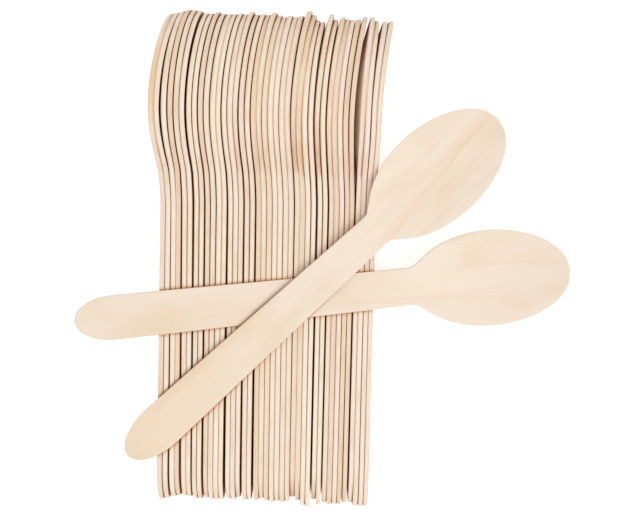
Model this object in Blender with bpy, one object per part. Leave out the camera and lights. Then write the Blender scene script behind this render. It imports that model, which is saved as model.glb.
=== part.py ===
"""A pack of pressed wooden spoons: a row nested on edge, with two loose spoons crossed on top of it.

Lengths are in metres. A spoon is pressed from one flat veneer blank. In its own frame the tail's end is at
the origin, the length runs along +Y, the width along X, and the hollow of the bowl faces +Z.
In the pack the row runs along +X from its first spoon, the tails point to -Y, the bowls to +Y, and +Z is up.
"""

import math

import bmesh
import bpy
from mathutils import Matrix, Vector
from mathutils.bvhtree import BVHTree

MM = 0.001

# The flat blank
LENGTH = 160.0 * MM
THICKNESS = 1.5 * MM
TAIL_WIDTH = 14.9 * MM
TAIL_ROUND = 12.0 * MM  # length of the tail's rounded end
NECK_WIDTH = 12.3 * MM
BOWL_WIDTH = 30.4 * MM
BOWL_TIP_REACH = 25.1 * MM  # from the widest part of the bowl to its tip
BOWL_NECK_REACH = 26.5 * MM  # from the widest part back to where the bowl's ellipse closes
SHOULDER_SOFTNESS = 4.0 * MM  # how wide the handle's edge sweeps out into the bowl

# The press
BEND_REACH = 63.0 * MM  # from the tip back to where the handle starts to dip
BELLY_REACH = 34.0 * MM  # from the tip back to the deepest point of the bowl
RIM_DIP = 2.35 * MM  # the bowl's rim below the handle at its deepest point
TIP_RISE = 4.1 * MM  # the tip above the rim's deepest point
TIP_CURVE = 1.8
DISH_DEPTH = 2.1 * MM  # the middle of the bowl below its rims

# The row, whose spoons are numbered from 1
ROW_COUNT = 39
SEAT_GAP = 0.08 * MM  # left between a spoon and what it is pushed against
ROW_SKEW = 2.0 * MM  # how much lower the last spoon's tail sits than the first's
REST_FLAT = 0.16 * MM  # an edge is pressed flat where it comes this close to the table
FIRST_LEAN = math.radians(1.25)  # of the first spoon, towards the end of the row
OPENINGS = {
    1: (0.1, 0.0), 2: (0.45, 0.0), 4: (0.25, 0.0), 5: (0.1, 0.25), 6: (0.25, 0.45), 7: (0.05, 0.15),
    8: (0.25, 0.05), 9: (0.0, 0.2), 10: (0.1, 0.35), 12: (0.35, 0.0), 13: (0.0, 0.15), 15: (0.25, 0.05),
    16: (0.05, 0.3), 17: (0.3, 0.0), 19: (0.15, 0.25), 22: (0.2, 0.3), 24: (0.15, 0.4), 27: (0.0, 0.2),
    28: (0.25, 0.25), 29: (0.0, 0.2), 30: (0.25, 0.3), 33: (0.0, 0.15), 34: (0.2, 0.0), 35: (0.35, 0.25),
    37: (0.15, 0.1),
}  # mm of room after a spoon, at the tails and at the bend
SLIDES = {
    1: 0.4, 3: -0.5, 4: -1.0, 5: -0.9, 6: -0.7, 9: -0.5, 13: -0.3, 15: -0.9, 17: -0.3, 19: -0.8, 21: 0.6,
    23: 0.4, 25: -1.6, 26: -0.4, 27: 1.2, 28: 1.7, 29: -0.9, 30: 0.8, 32: 0.6, 33: 0.7, 34: 0.5, 35: -0.3,
    36: -0.3, 37: 0.9, 38: 0.9, 39: 0.8,
}  # mm that a blank lay further towards its tail in the press
SPRUNG = {
    1: (-1.1, -0.3), 2: (-1.1, -0.3), 3: (-0.4, 0.0), 35: (0.4, 0.4), 36: (1.9, 0.9), 37: (1.9, 1.0),
    38: (2.1, 2.1), 39: (2.1, 2.4),
}  # mm that a bowl has sprung back after the press, at its belly and at its tip

# The loose spoons: where each crosses the middle spoon of the row, from its own tail and from that one's
LOWER_FROM_TAIL = 63.7 * MM
LOWER_UP_ROW = 67.4 * MM
LOWER_TURN = math.radians(6.0)
UPPER_FROM_TAIL = 63.1 * MM
UPPER_UP_ROW = 59.3 * MM
UPPER_TURN = math.radians(42.7)

# Facets
TAIL_STATIONS = 4
BOWL_STATIONS = 12
COLUMNS = 4
FEELER_STEP = 0.8 * MM  # spacing of the points that feel for contact along an edge
TILT_STEPS = (2.0, 1.0, 0.5, 0.25, 0.12)  # degrees tried while a loose spoon comes to rest

WOOD = (0.84, 0.70, 0.54, 1.0)
WOOD_ROUGHNESS = 0.7


def smooth_step(t):
    t = min(max(t, 0.0), 1.0)
    return t * t * (3 - 2 * t)


def ellipse_height(distance, reach, height):
    """Height of an ellipse at a distance from its highest point."""
    return height * math.sqrt(max(0.0, 1 - (distance / reach) ** 2))


def widest():
    return LENGTH - BOWL_TIP_REACH


def bend():
    return LENGTH - BEND_REACH


def half_width(s):
    """Half the blank's width at a distance s from the tail."""
    if s >= widest():
        return ellipse_height(s - widest(), BOWL_TIP_REACH, BOWL_WIDTH / 2)
    if s <= TAIL_ROUND:
        return ellipse_height(TAIL_ROUND - s, TAIL_ROUND, TAIL_WIDTH / 2)
    neck = widest() - BOWL_NECK_REACH
    taper = min((s - TAIL_ROUND) / (neck - TAIL_ROUND), 1.0)
    handle = (TAIL_WIDTH + taper * (NECK_WIDTH - TAIL_WIDTH)) / 2
    bowl = ellipse_height(widest() - s, BOWL_NECK_REACH, BOWL_WIDTH / 2)
    sweep = max(SHOULDER_SOFTNESS - abs(handle - bowl), 0.0)
    return max(handle, bowl) + sweep ** 2 / (4 * SHOULDER_SOFTNESS)


def press_height(x, s, sprung):
    """Height of the press at x across it and s along it, for a bowl that has sprung back by some mm."""
    belly_back, tip_back = (amount * MM for amount in sprung)
    belly = LENGTH - BELLY_REACH
    rim = (belly_back - RIM_DIP) * smooth_step((s - bend()) / (belly - bend()))
    rim += (TIP_RISE + tip_back - belly_back) * max((s - belly) / BELLY_REACH, 0.0) ** TIP_CURVE
    bowl_half = (BOWL_TIP_REACH + BOWL_NECK_REACH) / 2
    dish = DISH_DEPTH * max(1 - ((s - LENGTH + bowl_half) / bowl_half) ** 2, 0.0)
    across = min(abs(x) / max(half_width(s), THICKNESS), 1.0)
    return rim - dish * (1 - across ** 2)


def press_slope(x, s, sprung):
    """Steepness of the press, which a sheet's upright thickness is stretched by."""
    step = THICKNESS / 10
    along = press_height(x, s + step, sprung) - press_height(x, s - step, sprung)
    inner, outer = max(abs(x) - step, 0.0), abs(x)
    sideways = press_height(outer, s, sprung) - press_height(inner, s, sprung)
    return math.hypot(along / (2 * step), sideways / step)


def tail_stations():
    """Distances from the tail of the points round its end, closer together towards the end."""
    steps = [math.pi / 2 * k / TAIL_STATIONS for k in range(1, TAIL_STATIONS + 1)]
    return [TAIL_ROUND * (1 - math.cos(step)) for step in steps]


def bowl_stations(slide):
    """Distances from the tail of the rows across the bend and the bowl, closer together towards the tip."""
    steps = [math.pi / 2 * k / BOWL_STATIONS for k in range(BOWL_STATIONS)]
    return [LENGTH - (BEND_REACH - slide) * (1 - math.sin(step)) for step in steps]


def sheet_rows(sprung, slide):
    """Rows of points from the tail to the tip, each as (middle of the sheet, half its upright thickness)."""
    acrosses = [2 * column / COLUMNS - 1 for column in range(COLUMNS + 1)]
    rows = [[(0.0, 0.0)]] + [[(s, side) for side in (-1, 1)] for s in tail_stations()]
    rows += [[(s, across) for across in acrosses] for s in bowl_stations(slide)] + [[(LENGTH, 0.0)]]
    return [[sheet_point(across * half_width(s), s, sprung, slide) for s, across in row] for row in rows]


def sheet_point(x, s, sprung, slide):
    middle = Vector((x, s, press_height(x, s - slide, sprung)))
    return middle, THICKNESS / 2 * math.sqrt(1 + press_slope(x, s - slide, sprung) ** 2)


def sheet_faces(rows):
    """The faces of the sheet's upper side, and its outline, as (row, column) pairs."""
    first = TAIL_STATIONS + 1
    left = [(r, 0) for r in range(len(rows))]
    right = [(r, len(rows[r]) - 1) for r in range(1, len(rows) - 1)]
    across_bend = [(first, c) for c in range(1, COLUMNS)]
    faces = [right[:first] + across_bend[::-1] + left[first::-1]]
    for r in range(first, len(rows) - 2):
        for c in range(COLUMNS):
            faces.append([(r, c), (r, c + 1), (r + 1, c + 1), (r + 1, c)])
    last = len(rows) - 2
    faces += [[(last, c), (last, c + 1), (last + 1, 0)] for c in range(COLUMNS)]
    return faces, right + left[::-1]


def spoon_mesh(name, sprung, slide):
    rows = sheet_rows(sprung, slide)
    faces, outline = sheet_faces(rows)
    solid = bmesh.new()
    sides = []
    for way in (-1, 1):
        sides.append([[solid.verts.new(middle + Vector((0, 0, way * half))) for middle, half in row] for row in rows])
    under, upper = sides
    for face in faces:
        solid.faces.new([upper[r][c] for r, c in face])
        solid.faces.new([under[r][c] for r, c in reversed(face)])
    for (r, c), (next_r, next_c) in zip(outline, outline[1:] + outline[:1]):
        solid.faces.new((under[r][c], under[next_r][next_c], upper[next_r][next_c], upper[r][c]))
    bmesh.ops.triangulate(solid, faces=solid.faces[:])
    mesh = bpy.data.meshes.new(name)
    solid.to_mesh(mesh)
    solid.free()
    return mesh


def wood(name):
    material = bpy.data.materials.new(name)
    material.use_nodes = True
    shader = material.node_tree.nodes["Principled BSDF"]
    shader.inputs["Base Color"].default_value = WOOD
    shader.inputs["Roughness"].default_value = WOOD_ROUGHNESS
    shader.inputs["Metallic"].default_value = 0.0
    return material


def new_spoon(name, sprung=(0.0, 0.0), slide=0.0):
    spoon = bpy.data.objects.new(name, spoon_mesh(name, sprung, slide))
    spoon.data.materials.append(wood(name))
    bpy.context.scene.collection.objects.link(spoon)
    return spoon


def corners(spoon):
    return [spoon.matrix_basis @ vertex.co for vertex in spoon.data.vertices]


def feelers(spoon):
    """Points along every edge of a spoon, close enough together to feel where it touches another."""
    points = corners(spoon)
    felt = list(points)
    for edge in spoon.data.edges:
        start, end = (points[index] for index in edge.vertices)
        count = int((end - start).length / FEELER_STEP)
        felt += [start.lerp(end, k / (count + 1)) for k in range(1, count + 1)]
    return felt


def surface(spoons):
    points, faces = [], []
    for spoon in spoons:
        faces += [[len(points) + index for index in face.vertices] for face in spoon.data.polygons]
        points += corners(spoon)
    return BVHTree.FromPolygons(points, faces)


def least_travel(points, tree, way):
    """How far the nearest of the points goes along a way before it meets a surface."""
    hits = (tree.ray_cast(point, way)[3] for point in points)
    return min((distance for distance in hits if distance is not None), default=math.inf)


def stand_on_edge(spoon, lean):
    """Turn a spoon's hollow to +X and stand it on its bowl's edge and the corner of its tail."""
    rise = (BOWL_WIDTH - TAIL_WIDTH) / 2
    pitch = math.atan(rise / (widest() - TAIL_ROUND))
    spoon.matrix_basis = (
        Matrix.Rotation(-lean, 4, "Z") @ Matrix.Rotation(pitch, 4, "X") @ Matrix.Rotation(math.pi / 2, 4, "Y")
    )
    spoon.location.z = -min(corner.z for corner in corners(spoon))


def flatten_rest(spoon):
    """Press the lowest corners of a standing spoon flat onto the table."""
    to_own = spoon.matrix_basis.inverted()
    for vertex in spoon.data.vertices:
        corner = spoon.matrix_basis @ vertex.co
        if corner.z < REST_FLAT:
            corner.z = 0
            vertex.co = to_own @ corner


def make_row():
    """Stand the spoons in a row, each pushed up to the one before it and then let back by its opening."""
    row, lean = [], FIRST_LEAN
    for number in range(1, ROW_COUNT + 1):
        slide = SLIDES.get(number, 0.0) * MM
        spoon = new_spoon(f"row_spoon_{number:02d}", SPRUNG.get(number, (0.0, 0.0)), slide)
        at_tail, at_bend = (room * MM for room in OPENINGS.get(number - 1, (0.0, 0.0)))
        lean += (at_bend - at_tail) / bend()
        stand_on_edge(spoon, lean)
        spoon.location.y = -ROW_SKEW * (number - 1) / ROW_COUNT - slide
        if row:
            push_up(spoon, row[-1])
            spoon.location.x += min(at_tail, at_bend)
        flatten_rest(spoon)
        row.append(spoon)
    return row


def push_up(spoon, neighbour):
    """Move a spoon along the row until it all but touches the one before it."""
    far = Vector((LENGTH, 0, 0))
    spoon.location.x = neighbour.location.x + far.x
    way = Vector((1, 0, 0))
    room = min(
        least_travel(feelers(neighbour), surface([spoon]), way),
        least_travel(feelers(spoon), surface([neighbour]), -way),
    )
    spoon.location.x += SEAT_GAP - room


def balance_point():
    """Distance from the tail at which a spoon balances."""
    steps = [LENGTH * (k + 0.5) / 100 for k in range(100)]
    return sum(s * half_width(s) for s in steps) / sum(half_width(s) for s in steps)


def crossing_point(row, up_row):
    """The point over the middle spoon of the row at a distance from its tail."""
    point = row[len(row) // 2].matrix_basis @ Vector((0, up_row, 0))
    return Vector((point.x, point.y, 0))


def lay_across(name, carriers, crossing, from_tail, turn):
    """Lay a spoon over others, hollow side up, tilted so that its weight comes down as low as it can."""
    spoon = new_spoon(name)
    along = Vector((math.cos(turn), math.sin(turn), 0))
    below = [point for carrier in carriers for point in feelers(carrier)]
    below = [point for point in below if abs((point - crossing).cross(along).z) < BOWL_WIDTH / 2]
    tree = surface(carriers)
    tilt, height = (0.0, 0.0), lowered(spoon, below, tree, crossing, from_tail, turn, (0.0, 0.0))
    for step in TILT_STEPS:
        moved = True
        while moved:
            ways = [(a, b) for a in (-step, 0, step) for b in (-step, 0, step) if a or b]
            tries = [(tilt[0] + a, tilt[1] + b) for a, b in ways]
            heights = [lowered(spoon, below, tree, crossing, from_tail, turn, each) for each in tries]
            moved = min(heights) < height
            if moved:
                height = min(heights)
                tilt = tries[heights.index(height)]
    lowered(spoon, below, tree, crossing, from_tail, turn, tilt)
    return spoon


def lowered(spoon, below, tree, crossing, from_tail, turn, tilt):
    """Lower a tilted spoon until it all but touches what is below, and give the height of its weight."""
    pitch, roll = (math.radians(angle) for angle in tilt)
    spoon.rotation_euler = (pitch, roll, turn - math.pi / 2)
    spoon.location = (0, 0, 0)
    offset = crossing - spoon.matrix_basis @ Vector((0, from_tail, 0))
    spoon.location = (offset.x, offset.y, LENGTH)
    up = Vector((0, 0, 1))
    room = min(least_travel(below, surface([spoon]), up), least_travel(feelers(spoon), tree, -up))
    spoon.location.z += SEAT_GAP - room
    return (spoon.matrix_basis @ Vector((0, balance_point(), 0))).z


def centre(spoons):
    """Bring the middle of the pack's footprint to the origin."""
    points = [corner for spoon in spoons for corner in corners(spoon)]
    middle = [(max(p[axis] for p in points) + min(p[axis] for p in points)) / 2 for axis in (0, 1)]
    for spoon in spoons:
        spoon.location -= Vector((*middle, 0))


def build():
    for leftover in list(bpy.data.objects):
        bpy.data.objects.remove(leftover, do_unlink=True)
    row = make_row()
    lower = lay_across(
        "loose_spoon_lower", row, crossing_point(row, LOWER_UP_ROW), LOWER_FROM_TAIL, LOWER_TURN
    )
    upper = lay_across(
        "loose_spoon_upper", row + [lower], crossing_point(row, UPPER_UP_ROW), UPPER_FROM_TAIL, UPPER_TURN
    )
    centre(row + [lower, upper])


build()
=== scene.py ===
"""Looks for the pack of pressed wooden spoons: fine veneer, birch grain, a white table and soft light.

A spoon is worked out in mm in its own frame, as in the CAD model: its tail's end is at the origin, x runs
across it, s along it, and the hollow of its bowl faces up.
"""

import math
import random

import bpy
import numpy as np
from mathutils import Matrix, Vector


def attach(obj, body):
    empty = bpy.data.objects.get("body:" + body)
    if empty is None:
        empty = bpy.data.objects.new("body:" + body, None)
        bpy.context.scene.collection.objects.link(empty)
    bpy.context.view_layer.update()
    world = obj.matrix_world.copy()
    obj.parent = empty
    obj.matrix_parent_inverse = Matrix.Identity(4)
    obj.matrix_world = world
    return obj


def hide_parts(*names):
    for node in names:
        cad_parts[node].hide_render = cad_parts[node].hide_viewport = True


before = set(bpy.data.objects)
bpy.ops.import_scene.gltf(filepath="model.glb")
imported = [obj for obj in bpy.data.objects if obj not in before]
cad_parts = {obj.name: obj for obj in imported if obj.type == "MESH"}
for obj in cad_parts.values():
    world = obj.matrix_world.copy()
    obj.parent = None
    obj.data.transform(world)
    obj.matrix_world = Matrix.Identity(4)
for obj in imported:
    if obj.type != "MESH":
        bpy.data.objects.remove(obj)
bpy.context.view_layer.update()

MM = 0.001

# The spoon, as in the CAD model
LENGTH = 160.0
THICKNESS = 1.5
TAIL_WIDTH = 14.9
TAIL_ROUND = 12.0
NECK_WIDTH = 12.3
BOWL_WIDTH = 30.4
BOWL_TIP_REACH = 25.1
BOWL_NECK_REACH = 26.5
SHOULDER_SOFTNESS = 4.0
BEND_REACH = 63.0
BELLY_REACH = 34.0
RIM_DIP = 2.35
TIP_RISE = 4.1
TIP_CURVE = 1.8
DISH_DEPTH = 2.1
WIDEST = LENGTH - BOWL_TIP_REACH
BEND = LENGTH - BEND_REACH
BELLY = LENGTH - BELLY_REACH

# The outline of a blank: the tail's width and rounding, the neck's width, the bowl's width and its reach
# towards the neck. The two loose spoons of the photo are cut a little differently.
NOMINAL = (TAIL_WIDTH, TAIL_ROUND, NECK_WIDTH, BOWL_WIDTH, BOWL_NECK_REACH)
OUTLINES = {
    "loose_spoon_lower": (14.5, 12.8, 12.0, 31.0, 25.4),
    "loose_spoon_upper": (14.5, 15.0, 10.8, 30.2, 25.4),
}

# The tumbled edges
EDGE_ROUND = 0.15
END_ROUND = 0.6
END_REACH = 5.0  # how far from a spoon's ends its edges are rounder

# The row's veneers are uneven: fuller where two spoons nearly touch, thinner beside an open gap
MOST_FULLER = 0.1
FULLER_LEAVES = (0.02, 0.14)  # least and most room that two fuller spoons leave
OPEN = 0.3  # the room from which a gap is an open one
THINNER = 0.06
ROW_SEED = 8

# Fineness
ROWS = 120
COLUMNS = 12
EDGE_STEPS = 4

# The grain: the size of its cells across, along and through the veneer
CLOUDS = (14, 40, 14)
BANDS = (2.6, 60, 0.5)
FIBRES = (0.3, 14, 0.2)
FLECKS = (0.22, 1.9, 0.2)
BLUSH = (20, 25, 20)  # where the cut edges turn pink
PATCHES = (8, 15, 8)  # where they turn tan
LOG = 400  # how far from the middle of the log a blank may be cut
RELIEF = 0.03  # the height of the fibres
LOOSE_GRAIN = 0.4  # how strong the loose spoons' grain is beside the row's

# Distances from the middle of the sheet, between which its edge and its faces change their colour, and its
# edge's rims take a painted shade
CUT_TO_FACE = (0.5, 0.7)
RIM_SHADE_GROWS = (0.3, 0.6)
RIM_SHADE_ENDS = (0.64, 0.68)

# The marks, and where the painted light on the faces round the bend is strongest
BEND_LIGHT_MIDDLE = BEND + 9  # where along the spoon the painted light makes the faces palest
STREAK_START = 23.4  # how far across the heartwood streak's line meets the tail's end
STREAK_SLOPE = -0.165
STAIN_MIDDLE = 137.0

# The light, in metres and watts
GAP_SHADE_REACH = 0.0015  # how near something must be to darken the wood in a gap with painted shade
GAP_SHADE_SKY = (0.45, 1.0)  # the share of open sky from full painted shade to none
GAP_SHADE_SAMPLES = 6
GLOW_REACH = 0.016  # how near something hides the sky from the table's glow, which gaps don't get
GLOW_SKY = (0.24, 0.46)
GLOW_SAMPLES = 16
TABLE_GLOW = 0.58
ROOM_LIGHT = 0.64
KEY_PLACE = (0.4, -0.32, 1.28)
KEY_SIZE = 1.0
KEY_WATTS = 7.6
TABLE_SIZE = 8.0
TABLE_DROP = 0.0002  # how far the table lies under the pack

# The camera, in metres and pixels, as worked out from the photo
CAMERA_PLACE = (-0.00032, 0.00215, 0.3)
FOCAL_PIXELS = 875.7
FRAME_WIDTH = 640
SENSOR = 36.0  # mm
NEAREST = 0.01


def srgb(red, green, blue):
    """A colour from 0 to 255, as linear light."""
    parts = [value / 255 for value in (red, green, blue)]
    return (*[p / 12.92 if p <= 0.04045 else ((p + 0.055) / 1.055) ** 2.4 for p in parts], 1.0)


PALE = srgb(246, 230, 211)
CREAM = srgb(240, 222, 195)
PINK = srgb(239, 217, 200)
YELLOW = srgb(236, 214, 182)
TAN = srgb(234, 198, 154)
CUT_CREAM = srgb(255, 242, 221)
CUT_PINK = srgb(254, 238, 225)
FIBRE = srgb(205, 168, 128)
FLECK = srgb(176, 132, 92)
RIM_SHADE = srgb(222, 166, 114)  # painted shade along the cut edge's two rims
STAIN = srgb(238, 200, 148)
WHITE = (1, 1, 1, 1)
GAP_SHADE_TINT = (0.58, 0.29, 0.13, 1)  # painted shade: what the wood's colour in a narrow gap is multiplied by
PAPER = ((0.86, 0.86, 0.86, 1), (0.88, 0.88, 0.88, 1))  # the table's two whites
# painted shade: the dark brown the table takes where the pack hides its sky
TABLE_GAP_SHADE = (0.22, 0.14, 0.09, 1)


def smooth_step(t):
    t = np.clip(t, 0, 1)
    return t * t * (3 - 2 * t)


def ellipse_height(distance, reach, height):
    """Height of an ellipse at a distance from its highest point."""
    return height * np.sqrt(np.maximum(0, 1 - (distance / reach) ** 2))


def half_width(s, outline=NOMINAL):
    """Half the blank's width at distances s from the tail."""
    tail_width, tail_round, neck_width, bowl_width, neck_reach = outline
    taper = np.clip((s - tail_round) / (WIDEST - neck_reach - tail_round), 0, 1)
    handle = (tail_width + taper * (neck_width - tail_width)) / 2
    bowl = ellipse_height(np.maximum(WIDEST - s, 0), neck_reach, bowl_width / 2)
    sweep = np.maximum(SHOULDER_SOFTNESS - np.abs(handle - bowl), 0)
    middle = np.maximum(handle, bowl) + sweep**2 / (4 * SHOULDER_SOFTNESS)
    tip = ellipse_height(s - WIDEST, BOWL_TIP_REACH, bowl_width / 2)
    tail = ellipse_height(tail_round - s, tail_round, tail_width / 2)
    return np.where(s >= WIDEST, tip, np.where(s <= tail_round, tail, middle))


def bowl_ways(s):
    """How far, from 0 to 1, the press has dipped to its belly and then risen to its tip."""
    to_belly = smooth_step((s - BEND) / (BELLY - BEND))
    return to_belly, np.maximum((s - BELLY) / BELLY_REACH, 0) ** TIP_CURVE


def press_height(x, s, sprung=(0.0, 0.0)):
    """Height of the press at x and s, for a bowl that has sprung back at its belly and at its tip."""
    to_belly, to_tip = bowl_ways(s)
    rim = (sprung[0] - RIM_DIP) * to_belly + (TIP_RISE + sprung[1] - sprung[0]) * to_tip
    bowl_half = (BOWL_TIP_REACH + BOWL_NECK_REACH) / 2
    dish = DISH_DEPTH * np.maximum(1 - ((s - LENGTH + bowl_half) / bowl_half) ** 2, 0)
    across = np.clip(np.abs(x) / np.maximum(half_width(s), THICKNESS), 0, 1)
    return rim - dish * (1 - across**2)


def upright_stretch(x, s, sprung):
    """How much longer the sheet's thickness is measured upright, where the press is steep."""
    step = THICKNESS / 10
    along = (press_height(x, s + step, sprung) - press_height(x, s - step, sprung)) / (2 * step)
    outer = np.abs(x)
    inner = np.maximum(outer - step, 0)
    sideways = (press_height(outer, s, sprung) - press_height(inner, s, sprung)) / step
    return np.sqrt(1 + along**2 + sideways**2)


def unit(vector):
    return vector / np.linalg.norm(vector)


def farthest(points, place):
    return points[np.argmax(((points - place) ** 2).sum(1))]


def long_axis(points):
    """The direction from a spoon's tail to its tip, nearer to which it is widest."""
    far = farthest(points, points.mean(0))
    along = unit(farthest(points, far) - far)
    offset = points - far
    reach = offset @ along
    side = np.linalg.norm(offset - np.outer(reach, along), axis=1)
    return -along if reach[np.argmax(side)] < LENGTH / 2 else along


def press_fit(x, s, height):
    """How far a bowl has sprung back, at its belly and its tip, and how far its blank lay from its place."""
    slide = s[s > LENGTH / 2].min() - BEND
    bowl = s > BEND + slide + 1
    to_belly, to_tip = bowl_ways(s[bowl] - slide)
    left_over = height[bowl] - press_height(x[bowl], s[bowl] - slide)
    ways = np.stack([to_belly - to_tip, to_tip], 1)
    return np.linalg.lstsq(ways, left_over, rcond=None)[0], slide


def pose_of(node):
    """Where a CAD spoon lies, as its axes and its tail's end, and how its blank lay in the press."""
    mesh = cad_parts[node].data
    points = np.array([vertex.co[:] for vertex in mesh.vertices]) / MM
    along = long_axis(points)
    reach = points @ along
    order = np.argsort(reach)
    tail, tip = points[order[:2]].mean(0), points[order[-2:]].mean(0)
    up = unit(np.array(max(mesh.polygons, key=lambda polygon: polygon.area).normal[:]))
    belly = points[np.abs(reach - tail @ along - BELLY) < BOWL_WIDTH / 2]
    if ((belly - tail) @ up).mean() > 0:
        up = -up
    length = unit((tip - tail) - ((tip - tail) @ up) * up)
    axes = np.stack([np.cross(length, up), length, up])
    x, s, height = axes @ (points - tail).T
    return axes, tail, *press_fit(x, s, height)


def blank_outline(outline):
    """Stations along the blank, closer at its ends, its right edge there and the way out of it."""
    turn = np.linspace(0, math.pi, ROWS + 1)
    crowded = LENGTH * (1 - np.cos(turn)) / 2
    s = (crowded + np.linspace(0, LENGTH, ROWS + 1)) / 2
    width = half_width(s, outline)
    ds, dx = np.gradient(s), np.gradient(width)
    size = np.hypot(ds, dx)
    out = np.stack([ds / size, -dx / size], 1)
    out[0], out[-1] = (0, -1), (0, 1)
    return s, width, out


def edge_rings(s, width, out, faces_at):
    """Loops round the blank, over its rounded edge, between its upper and its lower face's heights."""
    ends = smooth_step(1 - np.minimum(s, LENGTH - s) / END_REACH)
    radius = EDGE_ROUND + (END_ROUND - EDGE_ROUND) * ends
    turns = np.linspace(0, math.pi / 2, EDGE_STEPS + 1)
    upper = [(faces_at[0], 1, turn) for turn in turns]
    lower = [(faces_at[1], -1, turn) for turn in turns[::-1]]
    rings = []
    for face_at, way, turn in upper + lower:
        inset = radius * (1 - math.sin(turn))
        height = face_at - way * radius * (1 - math.cos(turn))
        right = np.stack([width - inset * out[:, 0], s - inset * out[:, 1], height], 1)
        right[0, 0] = right[-1, 0] = 0
        right[:, 0] = np.maximum(right[:, 0], 0)
        left = right[::-1][1:-1] * (-1, 1, 1)
        rings.append(np.concatenate([right, left]))
    return rings


def ring_quads(count, loop):
    """Faces between each of a number of rings and the next."""
    faces = []
    for k in range(count - 1):
        for j in range(loop):
            after = (j + 1) % loop
            faces.append((k * loop + j, (k + 1) * loop + j, (k + 1) * loop + after, k * loop + after))
    return faces


def face_grid(rim):
    """Points of one face of the blank, in rows across it between the two sides of its rim."""
    points = []
    for k in range(1, ROWS):
        right, left = rim[k], rim[-k]
        points += [right + (left - right) * column / COLUMNS for column in range(1, COLUMNS)]
    return np.array(points)


def face_quads(rim, loop, first, side):
    """Faces of one side of the sheet: rim is the first rim vertex, first the first inner one."""

    def at(k, column):
        if column == 0 or k in (0, ROWS):
            return rim + k
        if column == COLUMNS:
            return rim + loop - k
        return first + (k - 1) * (COLUMNS - 1) + column - 1

    faces = []
    for k in range(ROWS):
        for column in range(COLUMNS):
            corners = [at(k, column), at(k + 1, column), at(k + 1, column + 1), at(k, column + 1)]
            corners = list(dict.fromkeys(corners))
            faces.append(tuple(corners if side > 0 else corners[::-1]))
    return faces


def spoon_geometry(outline, sprung, slide, faces_at):
    """Vertices of the pressed spoon, the same vertices on its flat blank, and faces."""
    rings = edge_rings(*blank_outline(outline), faces_at)
    loop = len(rings[0])
    flat, faces = list(rings), ring_quads(len(rings), loop)
    total = len(rings) * loop
    for ring, side in ((0, 1), (len(rings) - 1, -1)):
        grid = face_grid(rings[ring])
        flat.append(grid)
        faces += face_quads(ring * loop, loop, total, side)
        total += len(grid)
    flat = np.concatenate(flat)
    x, s, thick = flat.T
    up = press_height(x, s - slide, sprung) + thick * upright_stretch(x, s - slide, sprung)
    return np.column_stack([x, s, up]), flat, faces


def make_spoon(node, number, pose, faces_at, material):
    """Replace a CAD spoon by a fine one that lies where it lies, cut from its own place in the log."""
    dice = random.Random(number)
    place_in_log = np.array([dice.uniform(-LOG, LOG) for _ in range(3)])
    tones = [dice.random() for _ in range(3)]
    axes, tail, sprung, slide = pose
    own, flat, faces = spoon_geometry(OUTLINES.get(node, NOMINAL), sprung, slide, faces_at)
    points = (own @ axes + tail) * MM
    points[:, 2] = np.maximum(points[:, 2], 0)
    mesh = bpy.data.meshes.new("veneer_" + node)
    mesh.from_pydata(points.tolist(), [], faces)
    mesh.shade_smooth()
    attributes = {"grain": flat + place_in_log, "blank": flat, "tone": np.tile(tones, (len(flat), 1))}
    for name, values in attributes.items():
        mesh.attributes.new(name, "FLOAT_VECTOR", "POINT").data.foreach_set("vector", values.ravel())
    mesh.materials.append(material)
    spoon = bpy.data.objects.new("veneer_" + node, mesh)
    bpy.context.scene.collection.objects.link(spoon)
    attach(spoon, "root")
    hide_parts(node)


def room_between(pose, after):
    """The least room between the handles of two neighbours in the row."""
    up, tail = pose[0][2], pose[1]
    places = [after[1] + after[0][1] * s for s in (TAIL_ROUND, BEND)]
    return min((place - tail) @ up for place in places) - THICKNESS


def row_faces(poses):
    """The heights of the upper and the lower face of each spoon, which are uneven in the row."""
    dice = random.Random(ROW_SEED)
    nodes = sorted(node for node in poses if node.startswith("row_spoon"))
    faces_at = {node: [THICKNESS / 2, -THICKNESS / 2] for node in poses}
    for node, after in zip(nodes, nodes[1:]):
        room = room_between(poses[node], poses[after])
        left = dice.uniform(*FULLER_LEAVES)
        fuller = -THINNER if room > OPEN else min(max(room - left, 0) / 2, MOST_FULLER)
        faces_at[node][0] += fuller
        faces_at[after][1] -= fuller
    return faces_at


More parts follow.
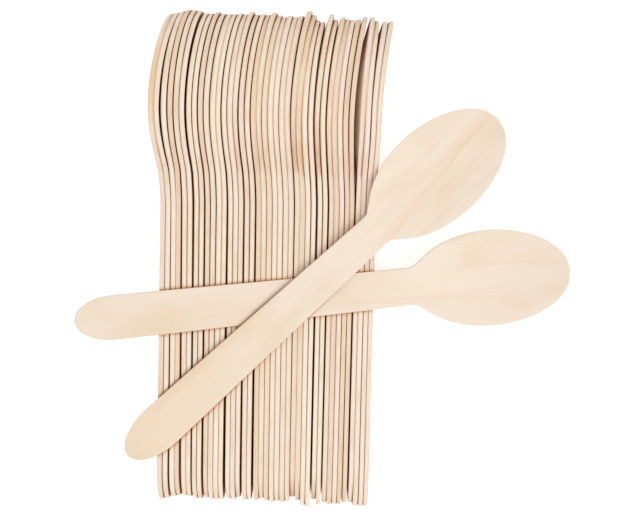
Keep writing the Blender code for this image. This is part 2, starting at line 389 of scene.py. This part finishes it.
class Nodes:
    """Short ways to add shader nodes to a tree and link them."""

    def __init__(self, tree):
        self.tree = tree

    def add(self, kind, inputs=None, **settings):
        node = self.tree.nodes.new("ShaderNode" + kind)
        for key, value in settings.items():
            setattr(node, key, value)
        for key, value in (inputs or {}).items():
            if isinstance(value, bpy.types.NodeSocket):
                self.tree.links.new(value, node.inputs[key])
            else:
                node.inputs[key].default_value = value
        return node

    def attribute(self, name):
        return self.add("Attribute", attribute_name=name).outputs["Vector"]

    def parts(self, vector):
        return tuple(self.add("SeparateXYZ", {0: vector}).outputs)

    def math(self, operation, *values):
        return self.add("Math", dict(enumerate(values)), operation=operation).outputs[0]

    def times(self, first, second):
        return self.math("MULTIPLY", first, second)

    def size(self, value):
        return self.math("ABSOLUTE", value)

    def mix(self, factor, first, second, blend="MIX"):
        inputs = {0: factor, 6: first, 7: second}
        return self.add("Mix", inputs, data_type="RGBA", blend_type=blend).outputs[2]

    def ramp(self, value, low, high, start=0.0, end=1.0):
        inputs = {"Value": value, "From Min": low, "From Max": high, "To Min": start, "To Max": end}
        return self.add("MapRange", inputs, interpolation_type="SMOOTHSTEP").outputs["Result"]

    def noise(self, vector, cells, detail=2.0, roughness=0.5, distortion=0.0):
        """Noise whose cells have the given three sizes."""
        scaled = self.add("Mapping", {"Vector": vector, "Scale": [1 / size for size in cells]})
        inputs = {
            "Vector": scaled.outputs[0], "Scale": 1.0, "Detail": detail,
            "Roughness": roughness, "Distortion": distortion,
        }
        return self.add("TexNoise", inputs).outputs["Fac"]

    def open_sky(self, reach, samples):
        """From 0 to 1, how much of the sky over a point nothing within reach hides."""
        return self.add("AmbientOcclusion", {"Distance": reach}, samples=samples).outputs["AO"]

    def background_rays(self):
        """1 for the rays that show the background: those of the camera, of gloss and of glass."""
        rays = self.add("LightPath").outputs
        shown = self.math("MAXIMUM", rays["Is Camera Ray"], rays["Is Glossy Ray"])
        return self.math("MAXIMUM", shown, rays["Is Transmission Ray"])


def new_material(name):
    material = bpy.data.materials.new(name)
    material.use_nodes = True
    material.node_tree.nodes.clear()
    return material, Nodes(material.node_tree)


def face_colour(n, grain, tone):
    """The sheet's faces: one tone for each spoon, with clouds."""
    clouds = n.noise(grain, CLOUDS, 3, 0.55)
    colour = n.mix(n.ramp(tone[0], 0.2, 0.9), PALE, CREAM)
    colour = n.mix(n.times(n.ramp(tone[1], 0.35, 1.0), 0.7), colour, PINK)
    return n.mix(n.times(n.ramp(clouds, 0.4, 0.68), 0.7), colour, YELLOW)


def cut_colour(n, grain, blank, tone, cut, colour):
    """The cut edges: paler than the faces, cream or pink, tan on some spoons, with tan patches, and with
    painted shade along their rims.
    """
    rosy = n.ramp(n.math("ADD", tone[1], n.noise(grain, BLUSH, 1)), 0.7, 1.3)
    colour = n.mix(n.times(cut, 0.78), colour, n.mix(rosy, CUT_CREAM, CUT_PINK))
    tan_spoon = n.times(cut, n.ramp(tone[2], 0.5, 1.0))
    colour = n.mix(n.times(tan_spoon, 0.5), colour, TAN)
    patches = n.times(n.ramp(n.noise(grain, PATCHES, 2), 0.52, 0.72), cut)
    colour = n.mix(n.times(patches, 0.36), colour, TAN)
    # painted shade along the cut edge's rims
    return n.mix(painted_rim_shade(n, blank, tone), colour, RIM_SHADE)


def painted_rim_shade(n, blank, tone):
    """How much painted shade a cut edge gets near the sheet's faces: more at one of the two, and at the
    bowl.
    """
    depth = n.size(blank[2])
    near = n.times(n.ramp(depth, *RIM_SHADE_GROWS), n.ramp(depth, *RIM_SHADE_ENDS, 1.0, 0.0))
    side = n.times(blank[2], n.math("SUBTRACT", tone[2], 0.5))
    by_side = n.ramp(side, -0.1, 0.1, 0.08, 0.5)
    by_place = n.ramp(blank[1], 20, 110, 0.35, 1.0)
    return n.times(near, n.times(by_side, by_place))


def painted_bend_light(n, blank, cut, colour):
    """Painted light: the faces are paler round the bend."""
    off = n.size(n.math("SUBTRACT", blank[1], BEND_LIGHT_MIDDLE))
    face = n.math("SUBTRACT", 1.0, cut)
    return n.mix(n.times(n.ramp(off, 5.0, 24.0, 0.6, 0.0), face), colour, PALE)


def grain_lines(n, grain, cut, fibres, flecks, depth, colour):
    """Growth bands, fibres and ray flecks."""
    bands = n.noise(grain, BANDS, 2, 0.5, 0.4)
    colour = n.mix(n.times(n.ramp(bands, 0.5, 0.7), 0.2 * depth), colour, FIBRE)
    fibre_strength = n.math("MULTIPLY_ADD", cut, 0.22, 0.12 * depth)
    colour = n.mix(n.times(n.ramp(fibres, 0.5, 0.72), fibre_strength), colour, FIBRE)
    return n.mix(n.times(n.ramp(flecks, 0.66, 0.76), 0.2 * depth), colour, FLECK)


def painted_gap_shade(n, colour):
    """Painted shade: the wood is deeper and warmer in narrow gaps, where light comes only by way of other
    wood, and wherever something else lies close.
    """
    gap_shaded = n.mix(1.0, colour, GAP_SHADE_TINT, "MULTIPLY")
    return n.mix(n.ramp(n.open_sky(GAP_SHADE_REACH, GAP_SHADE_SAMPLES), *GAP_SHADE_SKY), gap_shaded, colour)


def birch(name, mark=None, depth=1.0):
    """Birch veneer whose grain, as strong as depth says, follows the bent sheet, and perhaps a mark."""
    material, n = new_material(name)
    grain = n.attribute("grain")
    blank, tone = n.parts(n.attribute("blank")), n.parts(n.attribute("tone"))
    cut = n.ramp(n.size(blank[2]), *CUT_TO_FACE, 1.0, 0.0)
    fibres = n.noise(grain, FIBRES, 3, 0.6)
    flecks = n.noise(grain, FLECKS, 1, 0.5)
    colour = face_colour(n, grain, tone)
    colour = cut_colour(n, grain, blank, tone, cut, colour)
    # painted light: the faces are paler round the bend
    colour = painted_bend_light(n, blank, cut, colour)
    colour = grain_lines(n, grain, cut, fibres, flecks, depth, colour)
    if mark:
        colour = n.mix(mark(n, blank), colour, STAIN)
    height = n.math("MULTIPLY_ADD", flecks, 0.4, fibres)
    inputs = {
        # the base colour carries the painted gap shade
        "Base Color": painted_gap_shade(n, colour),
        "Roughness": n.ramp(fibres, 0.3, 0.8, 0.5, 0.68),
        "Specular IOR Level": 0.3,
        "Normal": n.add("Bump", {"Height": height, "Distance": RELIEF * MM, "Strength": 0.5}).outputs[0],
    }
    n.add("OutputMaterial", {"Surface": n.add("BsdfPrincipled", inputs).outputs[0]})
    return material


def heart_streak(n, blank):
    """The loose spoon's soft orange line, from its neck's edge to its tip, and its tanned tail."""
    x, s, _ = blank
    wander = n.noise(n.add("CombineXYZ", {1: s}).outputs[0], (9, 9, 9), 1)
    line = n.math("MULTIPLY_ADD", s, STREAK_SLOPE, STREAK_START)
    off = n.math("SUBTRACT", x, n.math("ADD", line, n.math("MULTIPLY_ADD", wander, 1.6, -0.8)))
    core = n.ramp(n.size(off), 0.2, 0.9, 1.0, 0.0)
    halo = n.ramp(n.size(n.math("ADD", off, 1.4)), 0.5, 3.4, 0.15, 0.0)
    strong = n.times(n.ramp(s, 124, 146, 0.1, 0.34), n.ramp(s, 154, 160, 1.0, 0.3))
    streak = n.times(n.math("MULTIPLY_ADD", core, strong, halo), n.ramp(s, 96, 112))
    return n.math("ADD", streak, n.ramp(s, 12, 84, 0.24, 0.0))


def bowl_stain(n, blank):
    """The tan patch on the first spoon's bowl edge."""
    x, s, _ = blank
    along = n.ramp(n.size(n.math("SUBTRACT", s, STAIN_MIDDLE)), 3.0, 16.0, 1.0, 0.0)
    return n.times(along, n.ramp(n.size(x), 9.0, 14.0, 0.2, 0.75))


def make_pack():
    row = birch("birch_row")
    special = {
        "row_spoon_01": birch("birch_first", bowl_stain),
        "loose_spoon_lower": birch("birch_loose_lower", depth=LOOSE_GRAIN),
        "loose_spoon_upper": birch("birch_loose_upper", heart_streak, LOOSE_GRAIN),
    }
    poses = {node: pose_of(node) for node in sorted(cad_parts)}
    faces_at = row_faces(poses)
    for number, node in enumerate(poses):
        make_spoon(node, number, poses[node], faces_at[node], special.get(node, row))


def make_table():
    """A white table that stays white to the camera and keeps the pack's soft shadow, with painted brown
    shade where the pack hides its sky.
    """
    material, n = new_material("table_white")
    white = n.mix(n.noise(n.add("TexCoord").outputs["Object"], (0.4, 0.4, 0.4), 2), *PAPER)
    clear = n.ramp(n.open_sky(GLOW_REACH, GLOW_SAMPLES), *GLOW_SKY)
    # painted shade: the table turns dark brown where the pack hides its sky
    diffuse = n.add("BsdfDiffuse", {"Color": n.mix(clear, TABLE_GAP_SHADE, white)}).outputs[0]
    glow = n.add("Emission", {"Color": WHITE, "Strength": n.times(clear, TABLE_GLOW)}).outputs[0]
    seen = n.add("AddShader", {0: diffuse, 1: glow}).outputs[0]
    mixed = n.add("MixShader", {0: n.background_rays(), 1: diffuse, 2: seen}).outputs[0]
    n.add("OutputMaterial", {"Surface": mixed})
    bpy.ops.mesh.primitive_plane_add(size=TABLE_SIZE, location=(0, 0, -TABLE_DROP))
    table = bpy.context.object
    table.name = "table_top"
    table.data.materials.append(material)


def make_room():
    """Light from all round, white to the camera and dimmer for what it lights."""
    world = bpy.data.worlds.new("soft_room")
    bpy.context.scene.world = world
    world.use_nodes = True
    n = Nodes(world.node_tree)
    room = world.node_tree.nodes["Background"]
    room.inputs["Color"].default_value = WHITE
    strength = n.ramp(n.background_rays(), 0.0, 1.0, ROOM_LIGHT, 1.0)
    world.node_tree.links.new(strength, room.inputs["Strength"])


def make_lamp():
    lamp = bpy.data.lights.new("key_soft", "AREA")
    lamp.shape = "DISK"
    lamp.size = KEY_SIZE
    lamp.energy = KEY_WATTS
    holder = bpy.data.objects.new("key_soft", lamp)
    holder.location = KEY_PLACE
    holder.rotation_euler = (-Vector(KEY_PLACE)).to_track_quat("-Z", "Y").to_euler()
    bpy.context.scene.collection.objects.link(holder)


def make_camera():
    camera = bpy.data.cameras.new("photo_camera")
    camera.sensor_fit = "HORIZONTAL"
    camera.sensor_width = SENSOR
    camera.lens = SENSOR * FOCAL_PIXELS / FRAME_WIDTH
    camera.clip_start = NEAREST
    holder = bpy.data.objects.new("photo_camera", camera)
    holder.location = CAMERA_PLACE
    bpy.context.scene.collection.objects.link(holder)
    bpy.context.scene.camera = holder


make_pack()
make_table()
make_room()
make_lamp()
make_camera()
bpy.context.scene.view_settings.view_transform = "Standard"
